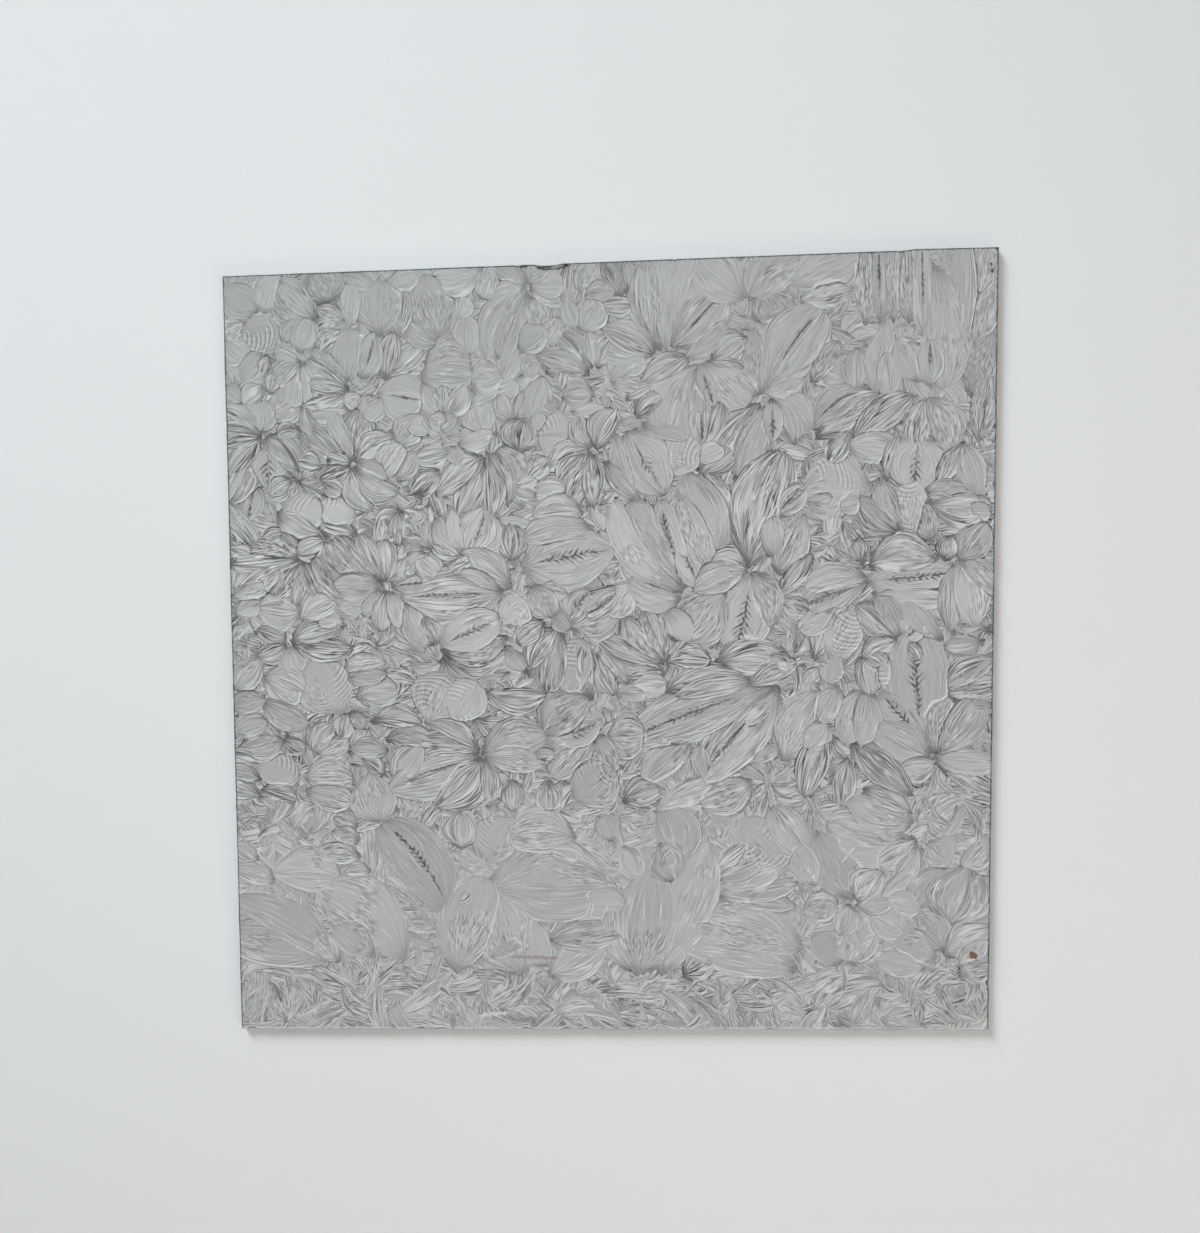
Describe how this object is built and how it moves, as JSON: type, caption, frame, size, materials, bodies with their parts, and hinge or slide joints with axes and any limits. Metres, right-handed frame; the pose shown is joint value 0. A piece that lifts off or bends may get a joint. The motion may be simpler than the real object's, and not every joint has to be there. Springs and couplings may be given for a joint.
{
  "type": "glue chip glass pane",
  "caption": "Square-cut pane of clear glue chip glass: smooth back, one face chipped into feathered petal and fern scallops, cut edges with a nick.",
  "frame": {"origin": "under the middle of the pane's box, on the surface that its smooth back lies on", "axes": "+Z out of the chipped face, +Y towards the top edge with the nick, +X towards the right edge as seen on the chipped face"},
  "size_m": [0.302, 0.305, 0.003],
  "materials": {
    "chipped_glass": "clear float glass, fire-polished on the back and glue chipped on the front"
  },
  "bodies": {
    "root": {"glass_pane": "chipped_glass"}
  },
  "joints": []
}
